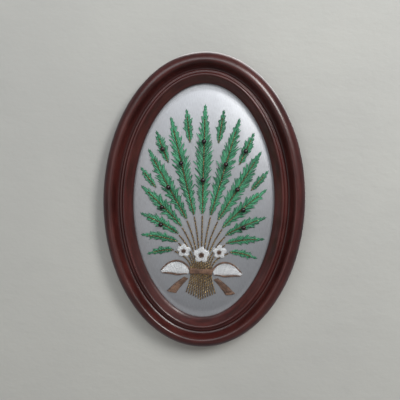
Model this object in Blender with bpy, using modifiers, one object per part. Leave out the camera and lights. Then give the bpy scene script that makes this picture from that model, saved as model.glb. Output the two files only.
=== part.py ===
"""Oval framed embroidery: a padded satin panel with a raised stitched posy, in a lacquered wood moulding.

Metres, +Z up. The picture plane is X-Z, its front faces -Y, and the flat back lies at Y = 0.
Heights are measured forwards from the back. The origin is the middle of the back.
"""

import math

import bmesh
import bpy
from mathutils import Vector

# Frame
OUTER_WIDTH = 0.1705
OUTER_HEIGHT = 0.2500
MOULDING_WIDTH = 0.02525
LIP_SETBACK = 0.0004
REBATE_WIDTH = 0.0060
REBATE_DEPTH = 0.0046
FRAME_STEPS = 120

# Moulding section, from the back's outer corner round the front to the sight edge
MOULDING_SECTION = [
    # inset from the outer edge, height
    (0.0022, 0.0000),
    (0.0008, 0.0030),
    (0.0000, 0.0078),
    (0.0006, 0.0114),
    (0.0023, 0.0147),
    (0.0047, 0.0170),
    (0.0074, 0.0179),
    (0.0090, 0.0172),
    (0.0101, 0.0152),
    (0.0109, 0.0128),
    (0.0121, 0.0107),
    (0.0138, 0.0097),
    (0.0150, 0.0112),
    (0.0165, 0.0115),
    (0.0174, 0.0130),
    (0.0184, 0.0135),
    (0.0194, 0.0130),
    (0.0214, 0.0105),
    (0.0233, 0.0082),
    (0.0249, 0.0068),
]

# Panel and board
GAP = 0.0003
BOARD_THICKNESS = 0.0020
PANEL_EDGE_THICKNESS = 0.0020
DOME_RISE = 0.0050
DOME_POWER = 3.0
DOME_MARGIN = 0.0010
FIT_CLEARANCE = 0.0010
PANEL_STEPS = 64
PANEL_RINGS = 9

# Stitched work
SEAT = 0.00045
RIB_RELIEF = 0.0013
EDGE_RELIEF = 0.0006
FAN_CENTRE = (0.0, -0.036)
TOOTH_PITCH = 0.0056
TOOTH_LEAN = 0.65
VALLEY_SHARE = 0.58
LEAF_START = 0.03
LEAF_END = 0.985
LEAF_FULLNESS = 0.6

# Sprays of the middle and the right half, which the left half mirrors
SPRAYS = [
    # degrees from upright, radius of the base, radius of the tip, width, bow, rank at the tie
    (0.0, 0.0275, 0.1140, 0.0160, 0.00, 0),
    (15.0, 0.0275, 0.1070, 0.0156, 0.00, 1),
    (30.5, 0.0265, 0.0890, 0.0146, 0.00, 2),
    (47.0, 0.0240, 0.0680, 0.0126, 0.02, 3),
    (64.0, 0.0225, 0.0550, 0.0108, 0.03, 4),
    (82.0, 0.0210, 0.0490, 0.0094, 0.04, 5),
    (101.0, 0.0245, 0.0440, 0.0078, 0.05, 6),
    (7.8, 0.0880, 0.1110, 0.0092, 0.00, None),
    (23.2, 0.0760, 0.1000, 0.0100, 0.00, None),
    (39.8, 0.0630, 0.0800, 0.0080, 0.00, None),
]

STEM_RADIUS = 0.00055
STEM_STEPS = 9
TIE_HEIGHT = -0.0585
TIE_SPACING = 0.00140
FOOT_HEIGHT = -0.0840
FOOT_RISE = 0.0010
FOOT_SPACING = 0.0021
STEM_TO_SPRAY = 0.0018
SHOULDER_SHARE = 0.45
ANKLE_SHARE = 0.40

BEAD_RADIUS = 0.0020
BALL_SEGMENTS = 12
BALL_RINGS = 8
BEADS = [
    # degrees from upright, radius from the fan's centre: each lies over the centre line of a spray
    (0.0, 0.0880),
    (0.0, 0.0560),
    (15.0, 0.0720),
    (30.5, 0.0570),
    (47.0, 0.0470),
    (64.0, 0.0390),
    (23.2, 0.0880),
]

PETALS = 5
SPOKES_PER_PETAL = 6
PETAL_DIP = 0.30
PETAL_RINGS = (0.40, 0.72, 1.0)
EYE_SHARE = 0.26
EYE_FLATNESS = 0.6
FLOWERS = [
    # across, up, radius
    (0.0, -0.0440, 0.0080),
    (0.0152, -0.0410, 0.0066),
]

BOW_STEPS = 8
LOOP_WIDTH = 0.0134
LOOP_START = 0.12
LOOP_END = 0.92
LOOP_ROUTE = ((0.0110, -0.0595), (0.0200, -0.0525), (0.0340, -0.0605))
TAIL_WIDTH = 0.0086
TAIL_START = 0.50
TAIL_ROUTE = ((0.0128, -0.0650), (0.0190, -0.0700), (0.0255, -0.0785))
KNOT_HALF_WIDTH = 0.0094
KNOT_HALF_HEIGHT = 0.0034
KNOT_WAIST = 0.72
KNOT_STEPS = (-1.0, -0.5, 0.0, 0.5, 1.0)

# Colours, linear
LACQUER = (0.055, 0.014, 0.012)
SATIN = (0.62, 0.65, 0.69)
BOARD = (0.28, 0.20, 0.13)
LEAF_GREEN = (0.035, 0.185, 0.090)
STEM_GOLD = (0.075, 0.055, 0.028)
WHITE_THREAD = (0.72, 0.72, 0.70)
BROWN_THREAD = (0.16, 0.085, 0.050)
BEAD_BLACK = (0.012, 0.009, 0.010)

FRONT = -1.0

sight_half_width = OUTER_WIDTH / 2 - MOULDING_WIDTH
sight_half_height = OUTER_HEIGHT / 2 - MOULDING_WIDTH
panel_half_width = sight_half_width + REBATE_WIDTH - FIT_CLEARANCE
panel_half_height = sight_half_height + REBATE_WIDTH - FIT_CLEARANCE
dome_half_width = sight_half_width - DOME_MARGIN
dome_half_height = dome_half_width * panel_half_height / panel_half_width
panel_back = BOARD_THICKNESS + GAP
panel_edge = panel_back + PANEL_EDGE_THICKNESS
over_stems = GAP + 2 * STEM_RADIUS


def clear_scene():
    for obj in list(bpy.data.objects):
        bpy.data.objects.remove(obj, do_unlink=True)


def make_collection(name):
    collection = bpy.data.collections.new(name)
    bpy.context.scene.collection.children.link(collection)
    return collection


def make_material(name, colour, roughness):
    material = bpy.data.materials.new(name)
    material.use_nodes = True
    shader = material.node_tree.nodes["Principled BSDF"]
    shader.inputs["Base Color"].default_value = (*colour, 1.0)
    shader.inputs["Roughness"].default_value = roughness
    shader.inputs["Metallic"].default_value = 0.0
    material.diffuse_color = (*colour, 1.0)
    return material


def add_object(name, data, collection, material):
    data.materials.append(material)
    obj = bpy.data.objects.new(name, data)
    collection.objects.link(obj)
    return obj


def poly_curve(name, points, cyclic, dimensions):
    curve = bpy.data.curves.new(name, "CURVE")
    curve.dimensions = dimensions
    spline = curve.splines.new("POLY")
    spline.points.add(len(points) - 1)
    for point, place in zip(spline.points, points):
        point.co = (*Vector(place).to_3d(), 1.0)
    spline.use_cyclic_u = cyclic
    return curve


def oval(half_width, half_height, count):
    angles = [2 * math.pi * step / count for step in range(count)]
    return [(half_width * math.cos(angle), half_height * math.sin(angle)) for angle in angles]


def stand_upright(obj):
    """Turns a shape drawn in the local X-Y plane to stand in X-Z, with local Z to the front."""
    obj.rotation_euler.x = math.radians(90)


def satin_height(across, up):
    """Height of the satin's face: a dome that flattens out just inside the sight edge."""
    reach = math.hypot(across / dome_half_width, up / dome_half_height)
    return panel_edge + DOME_RISE * max(0.0, 1.0 - reach**DOME_POWER)


def on_satin(place, lift=0.0):
    across, up = place
    return Vector((across, FRONT * (satin_height(across, up) + SEAT + lift), up))


def build_frame(parts, helpers, material):
    """The moulding section, with its rebate, swept round the outer oval."""
    rebate_inset = MOULDING_WIDTH - REBATE_WIDTH
    lip_height = MOULDING_SECTION[-1][1] - LIP_SETBACK
    rebate = [
        (MOULDING_WIDTH, lip_height),
        (MOULDING_WIDTH, REBATE_DEPTH),
        (rebate_inset, REBATE_DEPTH),
        (rebate_inset, 0.0),
    ]
    profile_curve = poly_curve("frame_section", MOULDING_SECTION + rebate, True, "2D")
    profile_curve.fill_mode = "NONE"
    profile = add_object("frame_section", profile_curve, helpers, material)
    profile.hide_render = True
    profile.display_type = "WIRE"
    path = poly_curve("frame", oval(OUTER_WIDTH / 2, OUTER_HEIGHT / 2, FRAME_STEPS), True, "2D")
    path.fill_mode = "NONE"
    path.bevel_mode = "OBJECT"
    path.bevel_object = profile
    frame = add_object("frame", path, parts, material)
    stand_upright(frame)


def build_backing_board(parts, material):
    curve = poly_curve("backing_board", oval(panel_half_width, panel_half_height, PANEL_STEPS), True, "2D")
    curve.fill_mode = "BOTH"
    curve.extrude = BOARD_THICKNESS / 2
    board = add_object("backing_board", curve, parts, material)
    stand_upright(board)
    board.location.y = FRONT * BOARD_THICKNESS / 2


def build_satin_panel(parts, material):
    """Half a dome section turned about the Y axis, then narrowed to the oval."""
    radii = [dome_half_height * step / PANEL_RINGS for step in range(PANEL_RINGS + 1)]
    face = [(radius, satin_height(0.0, radius)) for radius in radii]
    rim = [(panel_half_height, panel_edge), (panel_half_height, panel_back), (0.0, panel_back)]
    bm = bmesh.new()
    points = [bm.verts.new((radius, FRONT * height, 0.0)) for radius, height in reversed(face + rim)]
    for first, second in zip(points, points[1:]):
        bm.edges.new((first, second))
    mesh = bpy.data.meshes.new("satin_panel")
    bm.to_mesh(mesh)
    bm.free()
    panel = add_object("satin_panel", mesh, parts, material)
    turn = panel.modifiers.new("Turn", "SCREW")
    turn.axis = "Y"
    turn.steps = PANEL_STEPS
    turn.render_steps = PANEL_STEPS
    turn.use_merge_vertices = True
    turn.merge_threshold = 0.00001
    panel.scale.x = panel_half_width / panel_half_height


def raised_surface(name, bm, ridge, parts, material):
    """Closes an open surface into a low relief: full height along the ridge, thin at its edges."""
    bm.normal_update()
    if sum(face.normal.y for face in bm.faces) > 0:
        bmesh.ops.reverse_faces(bm, faces=bm.faces)
    bm.verts.index_update()
    ridge_indices = [vert.index for vert in ridge]
    mesh = bpy.data.meshes.new(name)
    bm.to_mesh(mesh)
    bm.free()
    obj = add_object(name, mesh, parts, material)
    group = obj.vertex_groups.new(name="ridge")
    group.add(ridge_indices, 1.0, "REPLACE")
    relief = obj.modifiers.new("Relief", "SOLIDIFY")
    relief.thickness = RIB_RELIEF
    relief.offset = 1.0
    relief.vertex_group = group.name
    relief.thickness_vertex_group = EDGE_RELIEF / RIB_RELIEF


def build_strip(name, rows, parts, material):
    """Raised strip on the satin from rows of (left, ridge, right) places."""
    bm = bmesh.new()
    lines = [[bm.verts.new(on_satin(place)) for place in row] for row in rows]
    for below, above in zip(lines, lines[1:]):
        for side in (0, 1):
            bm.faces.new((below[side], below[side + 1], above[side + 1], above[side]))
    ridge = [line[1] for line in lines]
    raised_surface(name, bm, ridge, parts, material)


def bezier(route, share):
    first, middle, last = (Vector(place) for place in route)
    return (1 - share) ** 2 * first + 2 * share * (1 - share) * middle + share**2 * last


def bezier_slope(route, share):
    first, middle, last = (Vector(place) for place in route)
    return ((1 - share) * (middle - first) + share * (last - middle)).normalized()


def fan_place(angle, radius):
    turn = math.radians(angle)
    return Vector((FAN_CENTRE[0] + radius * math.sin(turn), FAN_CENTRE[1] + radius * math.cos(turn)))


def spray_route(angle, base_radius, tip_radius, bow):
    """Base, control point and tip: the line bows upwards before it falls to its tip."""
    base = fan_place(angle, base_radius)
    tip = fan_place(angle, tip_radius)
    run = tip - base
    upwards = Vector((-run.y, run.x)) * (1 if run.x >= 0 else -1)
    return (base, (base + tip) / 2 + upwards * bow * 2, tip)


def leaf_share(share):
    """Half-width along a spray as a share of the widest: drawn in at the base and the tip."""
    return math.sin(math.pi * (LEAF_START + (LEAF_END - LEAF_START) * share)) ** LEAF_FULLNESS


def build_spray(name, route, width, parts, material):
    length = (route[2] - route[0]).length
    steps = 2 * max(3, round(length / TOOTH_PITCH))
    rows = []
    for step in range(steps + 1):
        share = step / steps
        ridge = bezier(route, share)
        along = bezier_slope(route, share)
        aside = Vector((along.y, -along.x))
        tooth = 1.0 if step % 2 else VALLEY_SHARE
        reach = width / 2 * leaf_share(share) * tooth
        lean = along * reach * TOOTH_LEAN * (1 - share)
        rows.append((ridge - aside * reach + lean, ridge, ridge + aside * reach + lean))
    build_strip(name, rows, parts, material)


def build_stem(name, rank, spray_base, parts, material):
    """Tube from its splayed foot, through the tie, to just short of its spray."""
    tie = Vector((rank * TIE_SPACING, TIE_HEIGHT))
    foot = Vector((rank * FOOT_SPACING, FOOT_HEIGHT + abs(rank) * FOOT_RISE))
    rise = spray_base - tie
    base = spray_base - rise.normalized() * STEM_TO_SPRAY
    shoulder = tie + Vector((0.0, SHOULDER_SHARE * rise.length))
    ankle = tie - Vector((0.0, ANKLE_SHARE * (tie - foot).length))
    below = [bezier((foot, ankle, tie), step / STEM_STEPS) for step in range(STEM_STEPS)]
    above = [bezier((tie, shoulder, base), step / STEM_STEPS) for step in range(STEM_STEPS + 1)]
    route = [on_satin(place, STEM_RADIUS) for place in below + above]
    curve = poly_curve(name, route, False, "3D")
    curve.bevel_depth = STEM_RADIUS
    curve.bevel_resolution = 1
    curve.use_fill_caps = True
    add_object(name, curve, parts, material)


def build_flower(name, across, up, radius, parts, material):
    """Rounded petals as rings of spokes, laid over the stems."""
    highest = satin_height(across, up + radius)
    level = FRONT * (highest + SEAT + over_stems)
    spokes = PETALS * SPOKES_PER_PETAL
    bm = bmesh.new()
    middle = bm.verts.new((across, level, up))
    rings = []
    for ring_share in PETAL_RINGS:
        ring = []
        for spoke in range(spokes):
            angle = 2 * math.pi * spoke / spokes
            dip = PETAL_DIP * abs(math.sin(PETALS * angle / 2)) * ring_share
            reach = radius * ring_share * (1.0 - PETAL_DIP + dip)
            place = (across + reach * math.sin(angle), level, up - reach * math.cos(angle))
            ring.append(bm.verts.new(place))
        rings.append(ring)
    for spoke in range(spokes):
        after = (spoke + 1) % spokes
        bm.faces.new((middle, rings[0][spoke], rings[0][after]))
        for inner, outer in zip(rings, rings[1:]):
            bm.faces.new((inner[spoke], outer[spoke], outer[after], inner[after]))
    raised_surface(name, bm, rings[1], parts, material)


def build_ball(name, place, size, parts, material):
    """Round bead or knot: size is its radius across, up, and to the front."""
    bm = bmesh.new()
    bmesh.ops.create_uvsphere(bm, u_segments=BALL_SEGMENTS, v_segments=BALL_RINGS, radius=1.0)
    bmesh.ops.scale(bm, vec=size, verts=bm.verts)
    bmesh.ops.translate(bm, vec=place, verts=bm.verts)
    mesh = bpy.data.meshes.new(name)
    bm.to_mesh(mesh)
    bm.free()
    mesh.shade_smooth()
    add_object(name, mesh, parts, material)


def loop_share(share):
    return math.sin(math.pi * (LOOP_START + (LOOP_END - LOOP_START) * share))


def tail_share(share):
    return TAIL_START + (1.0 - TAIL_START) * share


def build_ribbon(name, route, width, spread, parts, material):
    """Ribbon strip from the knot outwards; spread gives its width along the way as a share."""
    rows = []
    for step in range(BOW_STEPS + 1):
        share = step / BOW_STEPS
        ridge = bezier(route, share)
        along = bezier_slope(route, share)
        aside = Vector((along.y, -along.x))
        reach = width / 2 * spread(share)
        rows.append((ridge - aside * reach, ridge, ridge + aside * reach))
    build_strip(name, rows, parts, material)


def build_knot(parts, material):
    """Wrap over the stems where the bow is tied."""
    rows = []
    for side in KNOT_STEPS:
        across = side * KNOT_HALF_WIDTH
        reach = KNOT_HALF_HEIGHT * (KNOT_WAIST + (1.0 - KNOT_WAIST) * abs(side))
        rows.append([(across, TIE_HEIGHT - reach), (across, TIE_HEIGHT), (across, TIE_HEIGHT + reach)])
    bm = bmesh.new()
    lines = [[bm.verts.new(on_satin(place, over_stems)) for place in row] for row in rows]
    for first, second in zip(lines, lines[1:]):
        for step in (0, 1):
            bm.faces.new((first[step], second[step], second[step + 1], first[step + 1]))
    raised_surface("bow_knot", bm, [line[1] for line in lines], parts, material)


def sides_of(angle):
    """Name endings and directions of a piece and, off the middle line, its mirror twin."""
    return [("middle", 1)] if angle == 0 else [("right", 1), ("left", -1)]


clear_scene()
hanging = make_collection("embroidered_wall_hanging")
guides = make_collection("guides")
guides.hide_render = True

lacquer = make_material("lacquered_wood", LACQUER, 0.28)
satin = make_material("satin", SATIN, 0.45)
board_brown = make_material("board", BOARD, 0.85)
leaf_thread = make_material("leaf_thread", LEAF_GREEN, 0.50)
stem_thread = make_material("stem_thread", STEM_GOLD, 0.50)
white_thread = make_material("white_thread", WHITE_THREAD, 0.50)
brown_thread = make_material("brown_thread", BROWN_THREAD, 0.50)
bead_glass = make_material("bead", BEAD_BLACK, 0.15)

build_frame(hanging, guides, lacquer)
build_backing_board(hanging, board_brown)
build_satin_panel(hanging, satin)

for number, (angle, base_radius, tip_radius, width, bow, rank) in enumerate(SPRAYS, start=1):
    for side, sign in sides_of(angle):
        route = spray_route(sign * angle, base_radius, tip_radius, bow)
        build_spray(f"spray_{number}_{side}", route, width, hanging, leaf_thread)
        if rank is not None:
            build_stem(f"stem_{number}_{side}", sign * rank, route[0], hanging, stem_thread)

for number, (angle, radius) in enumerate(BEADS, start=1):
    for side, sign in sides_of(angle):
        place = on_satin(fan_place(sign * angle, radius), RIB_RELIEF + GAP + BEAD_RADIUS)
        build_ball(f"bead_{number}_{side}", place, [BEAD_RADIUS] * 3, hanging, bead_glass)

for number, (across, up, radius) in enumerate(FLOWERS, start=1):
    for side, sign in sides_of(across):
        build_flower(f"flower_{number}_{side}", sign * across, up, radius, hanging, white_thread)
        eye_radius = radius * EYE_SHARE
        eye_depth = eye_radius * EYE_FLATNESS
        eye_lift = over_stems + RIB_RELIEF + eye_depth
        eye_place = on_satin((sign * across, up), eye_lift)
        eye_size = (eye_radius, eye_depth, eye_radius)
        build_ball(f"flower_eye_{number}_{side}", eye_place, eye_size, hanging, brown_thread)

for side, sign in (("right", 1), ("left", -1)):
    loop_route = [(sign * across, up) for across, up in LOOP_ROUTE]
    tail_route = [(sign * across, up) for across, up in TAIL_ROUTE]
    build_ribbon(f"bow_loop_{side}", loop_route, LOOP_WIDTH, loop_share, hanging, white_thread)
    build_ribbon(f"bow_tail_{side}", tail_route, TAIL_WIDTH, tail_share, hanging, brown_thread)
build_knot(hanging, brown_thread)
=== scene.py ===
import math

import bmesh
import bpy
from mathutils import Matrix, Vector


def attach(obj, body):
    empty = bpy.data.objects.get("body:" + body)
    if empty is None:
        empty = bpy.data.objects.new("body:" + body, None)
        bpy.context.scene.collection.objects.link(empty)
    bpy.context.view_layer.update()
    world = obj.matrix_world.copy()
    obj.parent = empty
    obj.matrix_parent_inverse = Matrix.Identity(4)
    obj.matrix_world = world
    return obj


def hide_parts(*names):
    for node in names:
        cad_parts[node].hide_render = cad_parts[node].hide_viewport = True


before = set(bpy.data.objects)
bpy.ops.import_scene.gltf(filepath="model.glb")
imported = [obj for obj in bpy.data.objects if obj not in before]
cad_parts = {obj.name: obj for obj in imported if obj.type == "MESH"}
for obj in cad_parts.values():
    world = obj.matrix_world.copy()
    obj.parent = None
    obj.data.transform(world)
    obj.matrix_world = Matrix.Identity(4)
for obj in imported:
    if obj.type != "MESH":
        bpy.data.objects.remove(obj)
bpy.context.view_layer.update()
print("frame loaded:", len(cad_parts), "solids")


# One output socket, with arithmetic that adds Math nodes
class Wire:
    def __init__(self, maker, socket):
        self.maker = maker
        self.socket = socket

    def calculate(self, operation, *values):
        return self.maker.add("ShaderNodeMath", {"operation": operation}, dict(enumerate(values)))

    def __add__(self, other):
        return self.calculate("ADD", self, other)

    def __radd__(self, other):
        return self.calculate("ADD", other, self)

    def __sub__(self, other):
        return self.calculate("SUBTRACT", self, other)

    def __rsub__(self, other):
        return self.calculate("SUBTRACT", other, self)

    def __mul__(self, other):
        return self.calculate("MULTIPLY", self, other)

    def __rmul__(self, other):
        return self.calculate("MULTIPLY", other, self)

    def __truediv__(self, other):
        return self.calculate("DIVIDE", self, other)

    def __rtruediv__(self, other):
        return self.calculate("DIVIDE", other, self)

    def __pow__(self, other):
        return self.calculate("POWER", self, other)

    def __neg__(self):
        return self.calculate("MULTIPLY", self, -1.0)

    def __abs__(self):
        return self.calculate("ABSOLUTE", self)

    def sine(self):
        return self.calculate("SINE", self)

    def cosine(self):
        return self.calculate("COSINE", self)

    def atLeast(self, other):
        return self.calculate("MAXIMUM", self, other)

    def atMost(self, other):
        return self.calculate("MINIMUM", self, other)

    def over(self, other):
        return self.calculate("GREATER_THAN", self, other)

    def angleFrom(self, other):
        return self.calculate("ARCTAN2", self, other)


class NodeMaker:
    def __init__(self, tree):
        self.tree = tree

    def add(self, kind, settings=None, values=None, output=0):
        node = self.tree.nodes.new(kind)
        for label, value in (settings or {}).items():
            setattr(node, label, value)
        for label, value in (values or {}).items():
            self.feed(node.inputs[label], value)
        return Wire(self, node.outputs[output])

    def feed(self, socket, value):
        if isinstance(value, Wire):
            self.tree.links.new(value.socket, socket)
        elif isinstance(value, list):
            for wire in value:
                self.tree.links.new(wire.socket, socket)
        else:
            socket.default_value = value

    def split(self, vector):
        parts = self.add("ShaderNodeSeparateXYZ", {}, {0: vector}).socket.node
        return [Wire(self, socket) for socket in parts.outputs]

    def join(self, x, y, z):
        return self.add("ShaderNodeCombineXYZ", {}, {0: x, 1: y, 2: z})

    def vector(self, operation, *values):
        return self.add("ShaderNodeVectorMath", {"operation": operation}, dict(enumerate(values)))

    def mix(self, factor, first, second):
        values = {0: factor, 6: paint(first), 7: paint(second)}
        return self.add("ShaderNodeMix", {"data_type": "RGBA"}, values, 2)

    def ease(self, value, start, end, low=0.0, high=1.0):
        values = {0: value, 1: start, 2: end, 3: low, 4: high}
        return self.add("ShaderNodeMapRange", {"interpolation_type": "SMOOTHSTEP"}, values)

    def noise(self, place, scale=1.0, detail=2.0, roughness=0.5):
        values = {"Vector": place, "Scale": scale, "Detail": detail, "Roughness": roughness}
        return self.add("ShaderNodeTexNoise", {}, values)

    def attribute(self, name):
        return self.add("ShaderNodeAttribute", {"attribute_name": name}, {}, "Fac")

    def field(self, name):
        return self.add("GeometryNodeInputNamedAttribute", {"data_type": "FLOAT"}, {"Name": name})

    def store(self, geometry, name, value, domain="POINT"):
        settings = {"data_type": "FLOAT", "domain": domain}
        values = {"Geometry": geometry, "Name": name, "Value": value}
        return self.add("GeometryNodeStoreNamedAttribute", settings, values)

    def chance(self, low, high, seed):
        return self.add("FunctionNodeRandomValue", {"data_type": "FLOAT"}, {2: low, 3: high, 8: seed}, 1)


def paint(colour):
    return (*colour, 1.0) if isinstance(colour, tuple) else colour


# Making and placing pieces


def newObject(name, mesh):
    obj = bpy.data.objects.new(name, mesh)
    bpy.context.scene.collection.objects.link(obj)
    return obj


# Polylines whose points carry numbers for the node trees to read
def lineObject(name, lines, traits):
    points, edges = [], []
    for line in lines:
        first = len(points)
        points += [tuple(Vector(spot).to_3d()) for spot in line]
        edges += [(index, index + 1) for index in range(first, len(points) - 1)]
    mesh = bpy.data.meshes.new(name)
    mesh.from_pydata(points, edges, [])
    for trait, rows in traits.items():
        layer = mesh.attributes.new(trait, "FLOAT", "POINT")
        layer.data.foreach_set("value", [value for row in rows for value in row])
    return newObject(name, mesh)


def newTree(name, sizes):
    kinds = {float: "NodeSocketFloat", int: "NodeSocketInt"}
    tree = bpy.data.node_groups.new(name, "GeometryNodeTree")
    tree.interface.new_socket(name="Geometry", in_out="INPUT", socket_type="NodeSocketGeometry")
    tree.interface.new_socket(name="Geometry", in_out="OUTPUT", socket_type="NodeSocketGeometry")
    for label, value in sizes.items():
        tree.interface.new_socket(name=label, in_out="INPUT", socket_type=kinds[type(value)])
    tree.interface.new_socket(name="Material", in_out="INPUT", socket_type="NodeSocketMaterial")
    maker = NodeMaker(tree)
    source = tree.nodes.new("NodeGroupInput")
    return maker, {socket.name: Wire(maker, socket) for socket in source.outputs if socket.name}


def closeTree(maker, geometry, given):
    whole = maker.add("GeometryNodeRealizeInstances", {}, {"Geometry": geometry})
    smooth = maker.add("GeometryNodeSetShadeSmooth", {}, {"Geometry": whole})
    values = {"Geometry": smooth, "Material": given["Material"]}
    coloured = maker.add("GeometryNodeSetMaterial", {}, values)
    target = maker.tree.nodes.new("NodeGroupOutput")
    maker.feed(target.inputs["Geometry"], coloured)
    return maker.tree


# Runs a tree on a base object and keeps its result as a plain mesh
def growPiece(name, base, tree, sizes, material):
    values = {**sizes, "Material": material}
    modifier = base.modifiers.new(name, "NODES")
    modifier.node_group = tree
    for item in tree.interface.items_tree:
        if item.in_out == "INPUT" and item.name in values:
            modifier[item.identifier] = values[item.name]
    bpy.context.view_layer.update()
    graph = bpy.context.evaluated_depsgraph_get()
    shape = base.evaluated_get(graph)
    mesh = bpy.data.meshes.new_from_object(shape, preserve_all_data_layers=True, depsgraph=graph)
    base.modifiers.remove(modifier)
    bpy.data.objects.remove(base)
    mesh.name = name
    return newObject(name, mesh)


def place(piece, slot, *nodes):
    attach(piece, "root")
    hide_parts(*nodes)
    print(f"{piece.name}: {len(piece.data.polygons)} faces")
    return piece


def nodesNamed(start, without=None):
    return [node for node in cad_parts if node.startswith(start) and not (without and without in node)]


# What the materials share


def newMaterial(name):
    material = bpy.data.materials.new(name)
    material.use_nodes = True
    maker = NodeMaker(material.node_tree)
    shader = material.node_tree.nodes["Principled BSDF"]
    return material, maker, shader.inputs


def objectPlace(maker):
    return maker.split(maker.add("ShaderNodeTexCoord", {}, {}, "Object"))


def bumped(maker, height, distance, strength=1.0, normal=None):
    values = {"Strength": strength, "Distance": distance, "Height": height}
    if normal is not None:
        values["Normal"] = normal
    return maker.add("ShaderNodeBump", {}, values)


# Frame: the moulding section swept round the outer oval

moulding = {
    "width": 0.1705,
    "height": 0.2500,
    "reach": 0.02525,  # from the outer edge to the sight edge
    "lipSetback": 0.0004,
    "rebateWidth": 0.0060,
    "rebateDepth": 0.0046,
    "steps": 300,
    "spanSteps": 5,
    "creaseAngle": 40,
    "section": [  # inset from the outer edge, height above the wall
        (0.0022, 0.0000),
        (0.0008, 0.0030),
        (0.0000, 0.0078),
        (0.0006, 0.0114),
        (0.0023, 0.0147),
        (0.0047, 0.0170),
        (0.0074, 0.0179),
        (0.0090, 0.0172),
        (0.0101, 0.0152),
        (0.0109, 0.0128),
        (0.0121, 0.0107),
        (0.0138, 0.0097),
        (0.0150, 0.0112),
        (0.0165, 0.0115),
        (0.0174, 0.0130),
        (0.0184, 0.0135),
        (0.0194, 0.0130),
        (0.0214, 0.0105),
        (0.0233, 0.0082),
        (0.0249, 0.0068),
    ],
    "dark": (0.030, 0.0052, 0.0045),
    "middle": (0.072, 0.0135, 0.0115),
    "light": (0.112, 0.0265, 0.0210),
    "coat": 0.3,
    "coatRoughness": 0.16,
    # Painted shade in the groove: where it is centred, and how far it spreads
    "grooveInset": 0.0132,
    "grooveShadeHalfWidth": 0.0022,
}


def lacquerMaterial():
    material, maker, shader = newMaterial("lacqueredWood")
    x, y, z = objectPlace(maker)
    inset = maker.attribute("inset")
    across = x / (moulding["width"] / 2)
    up = z / (moulding["height"] / 2)
    grain = maker.noise(maker.join(inset * 420.0, across * 5.0, up * 5.0), 1.0, 5.0, 0.62)
    pores = maker.noise(maker.join(inset * 2600.0, across * 26.0, up * 26.0), 1.0, 3.0, 0.6)
    cloud = maker.noise(maker.join(x, y, z), 24.0, 3.0, 0.55)
    body = maker.mix(maker.ease(grain, 0.30, 0.72), moulding["dark"], moulding["middle"])
    body = maker.mix(maker.ease(cloud, 0.35, 0.80, 0.0, 0.45), body, moulding["light"])
    body = maker.mix(maker.ease(pores, 0.52, 0.75, 0.0, 0.55), body, moulding["dark"])
    # Painted shade: the colour goes towards dark wood across the groove round inset 13.2 mm, strongest at its bottom
    fromGroove = abs(inset - moulding["grooveInset"])
    grooveShade = maker.ease(fromGroove, 0.0, moulding["grooveShadeHalfWidth"], 0.75, 0.0)
    # Painted shade: the colour goes towards dark wood over the last 1.4 mm before the sight edge, where the lip meets
    # the satin
    lip = maker.ease(inset, moulding["reach"] - 0.0014, moulding["reach"], 0.0, 0.7)
    maker.feed(shader["Base Color"], maker.mix(grooveShade.atLeast(lip), body, moulding["dark"]))
    specks = maker.noise(maker.join(x, y, z), 620.0, 2.0, 0.5)
    ripple = maker.noise(maker.join(x, y, z), 150.0, 2.0, 0.5)
    maker.feed(shader["Roughness"], 0.27 + 0.14 * cloud + 0.10 * maker.ease(pores, 0.45, 0.75))
    coarse = bumped(maker, ripple * 0.6 + grain * 0.4, 0.00012)
    fine = maker.ease(specks, 0.60, 0.78) + pores * 0.5
    maker.feed(shader["Normal"], bumped(maker, fine, 0.00004, 1.0, coarse))
    shader["Coat Weight"].default_value = moulding["coat"]
    shader["Coat Roughness"].default_value = moulding["coatRoughness"]
    return material


# A smooth line through the section's points, which keeps its first and last
def smoothSection(points, spanSteps):
    padded = [points[0], *points, points[-1]]
    line = []
    for before, start, end, after in zip(padded, padded[1:], padded[2:], padded[3:]):
        b, s, e, a = (Vector(spot) for spot in (before, start, end, after))
        for step in range(spanSteps):
            t = step / spanSteps
            bend = (2 * b - 5 * s + 4 * e - a) * t**2 + (3 * s - b - 3 * e + a) * t**3
            line.append(0.5 * (2 * s + (e - b) * t + bend))
    return line + [Vector(points[-1])]


def mouldingTree():
    maker, given = newTree("sweepMoulding", {"Half width": 0.0, "Half height": 0.0, "Steps": 0})
    section = maker.add("GeometryNodeMeshToCurve", {}, {"Mesh": given["Geometry"]})
    values = {"Resolution": given["Steps"], "Radius": 1.0}
    circle = maker.add("GeometryNodeCurvePrimitiveCircle", {}, values)
    scale = maker.join(given["Half width"], given["Half height"], 1.0)
    oval = maker.add("GeometryNodeTransform", {}, {"Geometry": circle, "Scale": scale})
    swept = maker.add("GeometryNodeCurveToMesh", {}, {"Curve": oval, "Profile Curve": section})
    upright = {"Geometry": swept, "Rotation": (math.pi / 2, 0.0, 0.0)}
    return closeTree(maker, maker.add("GeometryNodeTransform", {}, upright), given)


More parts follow.
